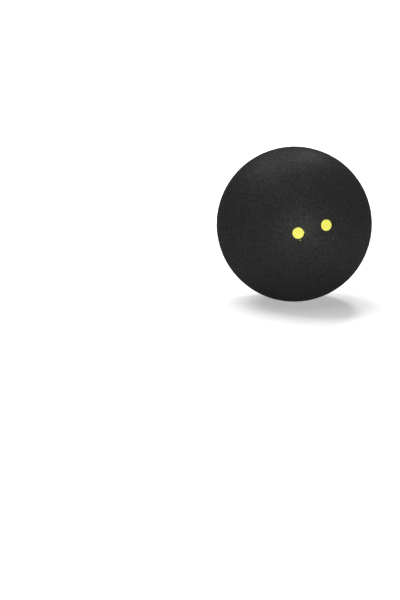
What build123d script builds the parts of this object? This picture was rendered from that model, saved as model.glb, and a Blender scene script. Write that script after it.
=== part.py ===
from build123d import *
import os
from math import asin, degrees, sqrt

# A squash ball: two moulded rubber cups, ground flat at the rim, cemented rim to rim and buffed round,
# with two printed ink dots that tell its speed. Lengths are in millimetres and angles in degrees.
# The origin is the ball's centre, +Z is up and the dotted side faces -Y.
ball_diameter = 40.0
wall = 4.7  # rubber, the same all round
cement_film = 0.12  # between the two ground rims
rim_chamfer = 0.5  # broken inner corner of each rim
bead_height = 0.3  # squeezed-out cement, standing into the hollow
dot_diameter = 2.75
dot_spacing = 7.4  # from dot centre to dot centre, along the surface
dot_row_turn = 9.6  # middle of the row, from straight ahead towards +X
dot_row_rise = 5.2  # middle of the row, above the ball's middle
dot_row_tilt = 13.9  # slope of the row, which climbs towards +X
ink_film = 0.03

# The seam lies in the XZ plane, and every profile below is turned about an axis through the ball's centre.
ball_radius = ball_diameter / 2
hollow_radius = ball_radius - wall
rim_height = cement_film / 2  # from the seam plane to a ground rim
chamfer_height = rim_height + rim_chamfer  # from the seam plane to the top of the broken corner
outer_rim_angle = degrees(asin(rim_height / ball_radius))
hollow_rim_angle = degrees(asin(chamfer_height / hollow_radius))
chamfer_radius = sqrt(hollow_radius**2 - rim_height**2) + rim_chamfer  # where the rim's flat starts

os.makedirs("parts", exist_ok=True)

# Both cups come out of the same mould, so the front one is the rear one turned half round.
for name, cup_plane in (
    ("rear_half_shell", Plane.XY),
    ("front_half_shell", Plane.XY.rotated((0, 0, 180))),
):
    with BuildPart() as half_shell:
        with BuildSketch(cup_plane):
            with BuildLine():
                outside = CenterArc((0, 0), ball_radius, outer_rim_angle, 90 - outer_rim_angle)
                hollow = CenterArc((0, 0), hollow_radius, hollow_rim_angle, 90 - hollow_rim_angle)
                Polyline(outside @ 0, (chamfer_radius, rim_height), hollow @ 0)
                Line(hollow @ 1, outside @ 1)
            make_face()
        revolve(axis=Axis.Y)
    half_shell.part.label = name
    export_step(half_shell.part, f"parts/{name}.step")

# The cement fills the gap between the rims and both broken corners, and ends in a rounded bead inside.
with BuildPart() as seam_cement:
    with BuildSketch(Plane.XY):
        with BuildLine():
            seam_line = CenterArc((0, 0), ball_radius, -outer_rim_angle, 2 * outer_rim_angle)
            bead_edge = sqrt(hollow_radius**2 - chamfer_height**2)
            bead = ThreePointArc(
                (bead_edge, -chamfer_height),
                (hollow_radius - bead_height, 0),
                (bead_edge, chamfer_height),
            )
            Polyline(seam_line @ 0, (chamfer_radius, -rim_height), bead @ 0)
            Polyline(seam_line @ 1, (chamfer_radius, rim_height), bead @ 1)
        make_face()
    revolve(axis=Axis.Y)
seam_cement.part.label = "seam_cement"
export_step(seam_cement.part, "parts/seam_cement.step")

# The row's plane faces out through the middle of the row, with its x along the row. Each dot is a round
# cap of ink on the ball, turned about its own line from the ball's centre.
row_plane = (
    Plane.XZ.rotated((0, -dot_row_tilt, 0))
    .rotated((-dot_row_rise, 0, 0))
    .rotated((0, 0, dot_row_turn))
)
dot_swing = degrees(dot_spacing / 2 / ball_radius)
dot_radius = dot_diameter / 2
ink_radius = ball_radius + ink_film
dot_angle = degrees(asin(dot_radius / ball_radius))
ink_angle = degrees(asin(dot_radius / ink_radius))

for name, swing in (("speed_dot_left", -dot_swing), ("speed_dot_right", dot_swing)):
    section = Plane(row_plane.location * Rotation(0, swing, 0) * Rotation(90, 0, 0))
    with BuildPart() as speed_dot:
        with BuildSketch(section):
            with BuildLine():
                underside = CenterArc((0, 0), ball_radius, 90 - dot_angle, dot_angle)
                face = CenterArc((0, 0), ink_radius, 90 - ink_angle, ink_angle)
                Line(underside @ 0, face @ 0)
                Line(underside @ 1, face @ 1)
            make_face()
        revolve(axis=Axis((0, 0, 0), section.y_dir))
    speed_dot.part.label = name
    export_step(speed_dot.part, f"parts/{name}.step")
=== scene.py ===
import math

import bmesh
import bpy
from mathutils import Matrix, Vector, noise


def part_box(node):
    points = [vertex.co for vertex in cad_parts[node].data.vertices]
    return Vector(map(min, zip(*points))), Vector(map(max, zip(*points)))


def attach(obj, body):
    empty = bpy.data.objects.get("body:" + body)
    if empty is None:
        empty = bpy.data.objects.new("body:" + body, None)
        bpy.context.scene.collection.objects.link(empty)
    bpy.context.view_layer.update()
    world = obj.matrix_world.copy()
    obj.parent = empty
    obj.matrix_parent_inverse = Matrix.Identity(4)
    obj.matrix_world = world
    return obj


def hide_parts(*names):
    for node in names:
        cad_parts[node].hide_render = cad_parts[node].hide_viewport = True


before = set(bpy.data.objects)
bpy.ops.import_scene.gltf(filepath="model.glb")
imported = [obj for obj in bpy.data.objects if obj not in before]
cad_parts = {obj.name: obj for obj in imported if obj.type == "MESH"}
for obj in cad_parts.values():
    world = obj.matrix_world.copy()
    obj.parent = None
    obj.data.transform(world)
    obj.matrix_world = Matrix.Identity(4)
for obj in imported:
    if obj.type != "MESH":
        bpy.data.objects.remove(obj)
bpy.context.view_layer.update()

mm = 0.001

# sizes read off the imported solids
cupPoints = [v.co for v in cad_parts["front_half_shell"].data.vertices]
seamPoints = [v.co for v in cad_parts["seam_cement"].data.vertices]
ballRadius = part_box("seam_cement")[1].x
hollowRadius = min(p.length for p in cupPoints)
rimGap = -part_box("front_half_shell")[1].y  # from the seam plane to a cup's ground rim
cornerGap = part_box("seam_cement")[1].y  # from the seam plane to the top of the broken inner corner
cornerRadius = math.sqrt(hollowRadius**2 - rimGap**2) + cornerGap - rimGap
beadRadius = min(math.hypot(p.x, p.z) for p in seamPoints)
print(f"ball radius {ballRadius / mm:.2f} mm, hollow radius {hollowRadius / mm:.2f} mm")


class Flow:
    # one shader socket, so that shader sums read as sums
    def __init__(self, tree, socket=None):
        self.tree = tree
        self.socket = socket

    def node(self, kind, settings=None, sockets=None, out=0):
        made = self.tree.nodes.new("ShaderNode" + kind)
        for name, value in (settings or {}).items():
            setattr(made, name, value)
        for name, value in (sockets or {}).items():
            if isinstance(value, Flow):
                self.tree.links.new(value.socket, made.inputs[name])
            else:
                made.inputs[name].default_value = value
        return Flow(self.tree, made.outputs[out] if len(made.outputs) else None)

    def other(self, name):
        # another output of the same node
        return Flow(self.tree, self.socket.node.outputs[name])

    def math(self, operation, first, second, clamp=False):
        return self.node("Math", {"operation": operation, "use_clamp": clamp}, {0: first, 1: second})

    def __add__(self, other):
        return self.math("ADD", self, other)

    def __radd__(self, other):
        return self.math("ADD", other, self)

    def __sub__(self, other):
        return self.math("SUBTRACT", self, other)

    def __rsub__(self, other):
        return self.math("SUBTRACT", other, self)

    def __mul__(self, other):
        return self.math("MULTIPLY", self, other)

    def __rmul__(self, other):
        return self.math("MULTIPLY", other, self)


def newMaterial(name):
    mat = bpy.data.materials.new(name)
    mat.use_nodes = True
    mat.node_tree.nodes.clear()
    return mat, Flow(mat.node_tree)


def cover(flow, sockets):
    surface = flow.node("BsdfPrincipled", None, sockets)
    flow.node("OutputMaterial", None, {"Surface": surface})


def cloudy(flow, place, width, detail):
    return flow.node("TexNoise", None, {"Vector": place, "Scale": 1 / width, "Detail": detail})


def fade(flow, value, low, high):
    # 0 at low, 1 at high, eased between
    return flow.node(
        "MapRange",
        {"interpolation_type": "SMOOTHSTEP"},
        {"Value": value, "From Min": low, "From Max": high},
    )


def tint(flow, factor, first, second):
    return flow.node("Mix", {"data_type": "RGBA"}, {0: factor, 6: first, 7: second}, out=2)


def scatter(flow, place, width, share, size, sharpness):
    # specks, one in that share of the cells: 1 in a speck's middle, 0 outside it
    near = flow.node("TexVoronoi", None, {"Vector": place, "Scale": 1 / width})
    chance = flow.node("SeparateColor", None, {0: near.other("Color")})
    reach = flow.node("MapRange", None, {"Value": chance, "From Min": 1 - share, "To Max": size})
    return flow.math("MULTIPLY", reach - near, sharpness / size, clamp=True)


rubber = {
    # pit and ridge colours: partly the rubber's own grain tone, partly painted shade darkening the relief's
    # hollows
    "pit": (0.0142, 0.0143, 0.0138, 1.0),
    "ridge": (0.0164, 0.0165, 0.0158, 1.0),
    "crumb": (0.030, 0.030, 0.0285, 1.0),
    "crumbWidth": 0.50 * mm,
    "crumbShare": 0.30,  # of the cells hold one
    "crumbSize": 0.36,  # in cells
    "crumbSharpness": 2.2,
    "crumbRelief": 0.6,  # of the fine grain's
    "cloudWidth": 5.0 * mm,
    "cloudDetail": 3.0,
    "fineWidth": 0.17 * mm,
    "fineDetail": 2.0,
    "fineRelief": 0.040 * mm,
    "reliefStrength": 1.0,
    "grainShare": 0.25,  # the wear on a ridge, and the painted shade in a pit, come from three grains
    "fineShare": 0.65,
    "cloudShare": 0.10,
    "wearAndShadeRange": (0.32, 0.68),
    "roughness": 0.95,
    "wornSmoother": 0.1,
    "polish": 0.048,  # sheen left by the wheel, and how much of it a pit, a ridge and a crumb hold
    "polishPit": 0.45,
    "polishRidge": 0.9,
    "polishCrumb": 2.0,
    "polishRoughness": 0.49,
    "polishIndex": 2.6,
}


def rubberPaint():
    mat, flow = newMaterial("buffed_rubber")
    place = flow.node("TexCoord", out=3)
    grain = flow.node("Attribute", {"attribute_name": "grain"}).other("Fac")
    cloud = cloudy(flow, place, rubber["cloudWidth"], rubber["cloudDetail"])
    fine = cloudy(flow, place, rubber["fineWidth"], rubber["fineDetail"])
    crumb = scatter(
        flow,
        place,
        rubber["crumbWidth"],
        rubber["crumbShare"],
        rubber["crumbSize"],
        rubber["crumbSharpness"],
    )
    mixed = grain * rubber["grainShare"] + fine * rubber["fineShare"] + cloud * rubber["cloudShare"]
    wearAndPitShade = fade(flow, mixed, *rubber["wearAndShadeRange"])
    # painted shade: darker where the relief is low, lighter where it is high, on top of the rubber's own
    # grain tone
    colour = tint(flow, wearAndPitShade, rubber["pit"], rubber["ridge"])
    colour = tint(flow, crumb, colour, rubber["crumb"])
    sheen = rubber["polishPit"] + rubber["polishRidge"] * wearAndPitShade + rubber["polishCrumb"] * crumb
    bump = flow.node(
        "Bump",
        None,
        {
            "Strength": rubber["reliefStrength"],
            "Distance": rubber["fineRelief"],
            "Height": fine + crumb * rubber["crumbRelief"],
        },
    )
    cover(
        flow,
        {
            "Base Color": colour,
            "Roughness": rubber["roughness"] - rubber["wornSmoother"] * wearAndPitShade,
            "Specular IOR Level": 0.0,
            "Coat Weight": rubber["polish"] * sheen,
            "Coat Roughness": rubber["polishRoughness"],
            "Coat IOR": rubber["polishIndex"],
            "Normal": bump,
        },
    )
    return mat


ink = {
    "yellow": (0.898, 0.870, 0.127, 1.0),
    "thin": (0.71, 0.68, 0.082, 1.0),
    "thinRange": (0.58, 0.8),  # of the patches, from full ink to thin
    "patchWidth": 0.35 * mm,
    "patchDetail": 3.0,
    "relief": 0.02 * mm,
    "reliefStrength": 0.6,
    "roughness": 0.5,
    "roughnessSpread": 0.2,
    "specular": 0.25,
}


def inkPaint():
    mat, flow = newMaterial("dot_ink")
    place = flow.node("TexCoord", out=3)
    patch = cloudy(flow, place, ink["patchWidth"], ink["patchDetail"])
    colour = tint(flow, fade(flow, patch, *ink["thinRange"]), ink["yellow"], ink["thin"])
    bump = flow.node(
        "Bump",
        None,
        {"Strength": ink["reliefStrength"], "Distance": ink["relief"], "Height": patch},
    )
    cover(
        flow,
        {
            "Base Color": colour,
            "Roughness": ink["roughness"] + ink["roughnessSpread"] * (patch - 0.5),
            "Specular IOR Level": ink["specular"],
            "Normal": bump,
        },
    )
    return mat


cement = {
    "dark": (0.0085, 0.0085, 0.0081, 1.0),
    "pale": (0.0165, 0.0163, 0.0155, 1.0),
    "smearWidth": 0.8 * mm,
    "smearDetail": 3.0,
    "relief": 0.02 * mm,
    "reliefStrength": 0.5,
    "roughness": 0.70,
    "roughnessSpread": 0.2,
    "specular": 0.05,
}


def cementPaint():
    mat, flow = newMaterial("seam_cement")
    place = flow.node("TexCoord", out=3)
    smear = cloudy(flow, place, cement["smearWidth"], cement["smearDetail"])
    bump = flow.node(
        "Bump",
        None,
        {"Strength": cement["reliefStrength"], "Distance": cement["relief"], "Height": smear},
    )
    cover(
        flow,
        {
            "Base Color": tint(flow, smear, cement["dark"], cement["pale"]),
            "Roughness": cement["roughness"] + cement["roughnessSpread"] * smear,
            "Specular IOR Level": cement["specular"],
            "Normal": bump,
        },
    )
    return mat


def placeMesh(bm, name, mat):
    mesh = bpy.data.meshes.new(name)
    bm.to_mesh(mesh)
    bm.free()
    mesh.materials.append(mat)
    piece = bpy.data.objects.new(name, mesh)
    bpy.context.scene.collection.objects.link(piece)
    return piece


def finishPiece(bm, name, mat, node):
    piece = placeMesh(bm, name, mat)
    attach(piece, "root")
    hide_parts(node)
    print(f"{name}: {len(piece.data.polygons)} faces")


def spinRound(bm, line, edges, axis, steps):
    bmesh.ops.spin(
        bm,
        geom=line + edges,
        cent=(0, 0, 0),
        axis=axis,
        dvec=(0, 0, 0),
        angle=2 * math.pi,
        steps=steps,
        use_merge=True,
    )


def shadeSmooth(bm):
    for face in bm.faces:
        face.smooth = True


buffing = {
    "swellWidth": 6.0 * mm,  # slow unevenness from the buffing wheel
    "swellHeight": 0.020 * mm,
    "grainWidth": 0.46 * mm,  # ridges and pits that the wheel tears
    "grainHeight": 0.024 * mm,
    "wideShare": 0.8,  # the grain is a wide noise with a narrower one over it
    "narrowShare": 0.5,
    "narrowScale": 1.7,
    "narrowShift": Vector((7, 3, 5)),
}


def buffedGrain(place):
    # 0 in a pit, 1 on a ridge
    wide = noise.noise(place / buffing["grainWidth"])
    narrow = noise.noise(place / buffing["grainWidth"] * buffing["narrowScale"] + buffing["narrowShift"])
    height = 0.5 + buffing["wideShare"] * wide + buffing["narrowShare"] * narrow
    return min(max(height, 0), 1)


def buffedLift(place):
    swell = noise.noise(place / buffing["swellWidth"])
    grain = buffedGrain(place) - 0.5
    return swell * buffing["swellHeight"] + grain * 2 * buffing["grainHeight"]


cup = {
    "outsideCuts": (4, 1, 1, 1, 1),  # how often each square is cut again
    "hollowCuts": (4, 1),
    "mapMiddle": Vector((0.5, 0.5)),  # where the outside lies on the bake map, and how far it reaches
    "mapReach": 0.494,
    "hiddenMiddle": Vector((0.085, 0.085)),  # the same for hollow and rim, in a corner
    "hollowReach": 0.045,
    "hollowSlack": 1.001,  # what still counts as hollow, in its radius
    "rimReach": (0.050, 0.080),
}


def openBox(cuts):
    # half a cube, open at the seam, in even squares
    bm = bmesh.new()
    bmesh.ops.create_cube(bm, size=2)
    bmesh.ops.subdivide_edges(bm, edges=bm.edges[:], cuts=1, use_grid_fill=True)
    bmesh.ops.delete(bm, geom=[v for v in bm.verts if v.co.y > 0.5], context="VERTS")
    for count in cuts:
        bmesh.ops.subdivide_edges(bm, edges=bm.edges[:], cuts=count, use_grid_fill=True)
    return bm


def openEdges(bm):
    return [e for e in bm.edges if e.is_boundary]


def blowRound(bm, radius, gap):
    # the box swells to a half sphere whose open edge stays that gap from the seam plane
    rimRadius = math.sqrt(radius**2 - gap**2)
    for v in bm.verts:
        onRim = v.is_boundary
        way = Vector([math.tan(c * math.pi / 4) for c in v.co]).normalized()
        v.co = way * radius
        if onRim:
            v.co = Vector((way.x, 0, way.z)).normalized() * rimRadius - Vector((0, gap, 0))


def layBakeMap(bm, pole, skinFaces):
    layer = bm.loops.layers.uv.new("OFBake")
    side = pole.orthogonal().normalized()
    other = pole.cross(side)
    rimLow, rimHigh = cup["rimReach"]
    for face in bm.faces:
        for loop in face.loops:
            place = loop.vert.co
            angle = place.angle(pole) / (math.pi / 2)
            if face in skinFaces:
                middle, reach = cup["mapMiddle"], cup["mapReach"] * angle
            elif place.length < hollowRadius * cup["hollowSlack"]:
                middle, reach = cup["hiddenMiddle"], cup["hollowReach"] * angle
            else:
                share = (place.length - cornerRadius) / (ballRadius - cornerRadius)
                middle, reach = cup["hiddenMiddle"], rimLow + (rimHigh - rimLow) * share
            turn = Vector((place.dot(side), place.dot(other)))
            if turn.length > 0:
                turn.normalize()
            loop[layer].uv = middle + turn * reach


def makeCup(name, node, pole, mat):
    bm = openBox(cup["outsideCuts"])
    bm.verts.layers.float.new("grain")
    blowRound(bm, ballRadius, rimGap)
    skinVerts = bm.verts[:]
    skinFaces = set(bm.faces)
    rim = openEdges(bm)
    flat = bmesh.ops.extrude_edge_only(bm, edges=rim)["geom"]
    for v in (g for g in flat if isinstance(g, bmesh.types.BMVert)):  # the ground flat runs in to the corner
        v.co = Vector((v.co.x, 0, v.co.z)).normalized() * cornerRadius + Vector((0, v.co.y, 0))
    corner = openEdges(bm)
    hollow = openBox(cup["hollowCuts"])
    blowRound(hollow, hollowRadius, cornerGap)
    bmesh.ops.reverse_faces(hollow, faces=hollow.faces[:])
    hollowMesh = bpy.data.meshes.new("hollow")
    hollow.to_mesh(hollowMesh)
    hollow.free()
    bm.from_mesh(hollowMesh)
    bpy.data.meshes.remove(hollowMesh)
    bmesh.ops.bridge_loops(bm, edges=openEdges(bm))
    shadeSmooth(bm)
    for edge in rim + corner:
        edge.smooth = False
    turn = Vector((0, -1, 0)).rotation_difference(pole).to_matrix()
    bmesh.ops.rotate(bm, verts=bm.verts[:], cent=(0, 0, 0), matrix=turn)
    layBakeMap(bm, pole, skinFaces)
    grain = bm.verts.layers.float["grain"]
    for v in skinVerts:
        v[grain] = buffedGrain(v.co)
        v.co += v.co.normalized() * buffedLift(v.co)
    finishPiece(bm, name, mat, node)


seam = {
    "steps": 640,
    "sink": 0.008 * mm,  # the film was buffed a little lower than the rubber
    "beadBulge": 0.05 * mm,  # by which the bead's shoulders stand into the hollow
    "beadWidth": 0.6,  # between its shoulders, as a share of its foot
}


def makeSeam(mat):
    bm = bmesh.new()
    lip = math.sqrt(ballRadius**2 - rimGap**2) - seam["sink"]
    foot = math.sqrt(hollowRadius**2 - cornerGap**2)
    shoulder = (foot + beadRadius) / 2 - seam["beadBulge"]
    shoulderGap = cornerGap * seam["beadWidth"]
    outline = [
        (lip, -rimGap),
        (lip, rimGap),
        (cornerRadius, rimGap),
        (foot, cornerGap),
        (shoulder, shoulderGap),
        (beadRadius, 0),
        (shoulder, -shoulderGap),
        (foot, -cornerGap),
        (cornerRadius, -rimGap),
    ]
    ring = [bm.verts.new((x, y, 0)) for x, y in outline]
    edges = [bm.edges.new(pair) for pair in zip(ring, ring[1:] + ring[:1])]
    spinRound(bm, ring, edges, (0, 1, 0), seam["steps"])
    bmesh.ops.recalc_face_normals(bm, faces=bm.faces[:])
    for v in bm.verts:
        if v.co.length > (cornerRadius + ballRadius) / 2:
            v.co += v.co.normalized() * buffedLift(v.co)
    shadeSmooth(bm)
    finishPiece(bm, "seam_line", mat, "seam_cement")


dot = {
    "film": 0.03 * mm,
    "sink": 0.02 * mm,
    "rings": 14,
    "steps": 96,
    "weld": 0.0005 * mm,
    "wobble": 0.025,  # share of the radius by which the printed edge wanders
    "wobbleFade": 4,  # the higher, the closer to the edge it stays
}
leftMarks = {
    "spur": ((math.radians(9), 0.15, 0.13),),  # where ink ran out: direction, reach and width
    "splash": (((0.55 * mm, -1.75 * mm), 0.10 * mm),),  # flecks: place from the dot's middle, and radius
}


def inkBlob(bm, middle, radius, spur):
    # a round film of ink on the flat, before it is wrapped on the ball
    steps = [radius * i / dot["rings"] for i in range(dot["rings"] + 1)]
    line = [bm.verts.new((x, 0, dot["film"])) for x in steps]
    line.append(bm.verts.new((radius, 0, -dot["sink"])))
    line.append(bm.verts.new((0, 0, -dot["sink"])))
    edges = [bm.edges.new(pair) for pair in zip(line, line[1:])]
    spinRound(bm, line, edges, (0, 0, 1), dot["steps"])
    bmesh.ops.remove_doubles(bm, verts=[v for v in bm.verts if not v.tag], dist=dot["weld"])
    for v in bm.verts:
        if v.tag:  # belongs to an earlier blob
            continue
        around = math.atan2(v.co.y, v.co.x)
        edge = noise.noise(Vector((math.cos(around), math.sin(around), middle[0] / mm))) * dot["wobble"]
        for direction, reach, width in spur:
            off = math.remainder(around - direction, 2 * math.pi) / width
            edge += reach * math.exp(-off * off)
        out = (math.hypot(v.co.x, v.co.y) / radius) ** dot["wobbleFade"]
        v.co.x *= 1 + edge * out
        v.co.y *= 1 + edge * out
        v.co.x += middle[0]
        v.co.y += middle[1]
        v.tag = True


def makeDot(name, node, mat, spur=(), splash=()):
    points = [v.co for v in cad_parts[node].data.vertices]
    axis = sum(points, Vector()).normalized()
    radius = max(p.cross(axis).length for p in points)
    bm = bmesh.new()
    inkBlob(bm, (0, 0), radius, spur)
    for middle, size in splash:
        inkBlob(bm, middle, size, ())
    right = Vector((0, 0, 1)).cross(axis).normalized()
    up = axis.cross(right)
    for v in bm.verts:
        lean = math.hypot(v.co.x, v.co.y) / ballRadius
        tangent = right * v.co.x + up * v.co.y
        if tangent.length > 0:
            tangent.normalize()
        way = axis * math.cos(lean) + tangent * math.sin(lean)
        v.co = way * (ballRadius + buffedLift(way * ballRadius) + v.co.z)
    bmesh.ops.recalc_face_normals(bm, faces=bm.faces[:])
    shadeSmooth(bm)
    finishPiece(bm, name, mat, node)


rubberMat = rubberPaint()
inkMat = inkPaint()
cementMat = cementPaint()
makeCup("front_cup", "front_half_shell", Vector((0, -1, 0)), rubberMat)
makeCup("rear_cup", "rear_half_shell", Vector((0, 1, 0)), rubberMat)
makeSeam(cementMat)
makeDot("left_dot", "speed_dot_left", inkMat, **leftMarks)
makeDot("right_dot", "speed_dot_right", inkMat)
print("ball dressed")

studio = {
    "floorReach": 14.0,
    "floorSides": 96,
    "floorWhite": 0.95,  # as the camera sees the paper
    "floorBounce": 0.33,  # as it lights the ball
    "floorGlow": 0.380,
    "worldGlow": 0.03,
}


def backgroundRay(flow):
    # 1 where the camera, a gloss or a glass looks straight at the background
    path = flow.node("LightPath")
    seen = flow.math("MAXIMUM", path, path.other("Is Glossy Ray"))
    return flow.math("MAXIMUM", seen, path.other("Is Transmission Ray"))


def makeFloor():
    mat, flow = newMaterial("pale_floor")
    seen = backgroundRay(flow)
    bounce = (studio["floorBounce"],) * 3 + (1.0,)
    white = (studio["floorWhite"],) * 3 + (1.0,)
    paper = flow.node("BsdfDiffuse", None, {"Color": tint(flow, seen, bounce, white)})
    glow = flow.node("Emission", None, {"Strength": studio["floorGlow"]})
    both = flow.node("AddShader", None, {0: paper, 1: glow})
    flow.node("OutputMaterial", None, {"Surface": both})
    bm = bmesh.new()
    bmesh.ops.create_circle(bm, cap_ends=True, segments=studio["floorSides"], radius=studio["floorReach"])
    bmesh.ops.translate(bm, verts=bm.verts[:], vec=(0, 0, -ballRadius))
    placeMesh(bm, "floor", mat)


def makeWorld():
    world = bpy.data.worlds.new("studio")
    world.use_nodes = True
    world.node_tree.nodes.clear()
    flow = Flow(world.node_tree)
    seen = backgroundRay(flow)
    strength = studio["worldGlow"] + (1 - studio["worldGlow"]) * seen
    sky = flow.node("Background", None, {"Color": (1, 1, 1, 1), "Strength": strength})
    flow.node("OutputWorld", None, {"Surface": sky})
    bpy.context.scene.world = world


# kind, degrees to the right of the camera side, degrees above the floor, metres away, own settings
lamps = {
    "key": ("SUN", 217, 59, 1.0, {"energy": 2.2, "angle": math.radians(52)}),
    "fill": ("AREA", 7, 2, 0.9, {"energy": 7.05, "shape": "ELLIPSE", "size": 0.7, "size_y": 0.30}),
    "top": ("AREA", 160, 48, 0.7, {"energy": 1.9, "shape": "DISK", "size": 0.14}),
    "overhead": ("SUN", 320, 74, 1.0, {"energy": 0.55, "angle": math.radians(62)}),
}


def addLamp(name, kind, turn, rise, distance, settings):
    data = bpy.data.lights.new(name, kind)
    for key, value in settings.items():
        setattr(data, key, value)
    turn, rise = math.radians(turn), math.radians(rise)
    way = Vector((math.sin(turn) * math.cos(rise), -math.cos(turn) * math.cos(rise), math.sin(rise)))
    lamp = bpy.data.objects.new(name, data)
    lamp.location = way * distance
    lamp.rotation_euler = way.to_track_quat("Z", "Y").to_euler()
    bpy.context.scene.collection.objects.link(lamp)


makeFloor()
makeWorld()
for name, lamp in lamps.items():
    addLamp(name, *lamp)
print("studio lit")

view = {
    "frame": (400, 600),  # the photograph's pixels
    "ballAt": (294.0, 224.25),
    "ballRadius": 77.4,
    "focal": 1500.0,  # the lens, in the same pixels
    "lookDown": math.radians(11.75),
    "sensor": 36.0,
}


def makeCamera():
    data = bpy.data.cameras.new("photo_view")
    data.sensor_width = view["sensor"]
    data.lens = view["focal"] * view["sensor"] / max(view["frame"])
    depth = view["focal"] * ballRadius / view["ballRadius"]
    across = (view["ballAt"][0] - view["frame"][0] / 2) / view["focal"] * depth
    down = (view["ballAt"][1] - view["frame"][1] / 2) / view["focal"] * depth
    turn = Matrix.Rotation(math.pi / 2 - view["lookDown"], 3, "X")
    camera = bpy.data.objects.new("photo_view", data)
    camera.rotation_euler = turn.to_euler()
    camera.location = -(turn @ Vector((across, -down, -depth)))
    bpy.context.scene.collection.objects.link(camera)
    bpy.context.scene.camera = camera


makeCamera()
bpy.context.scene.view_settings.view_transform = "Standard"
print("camera set")
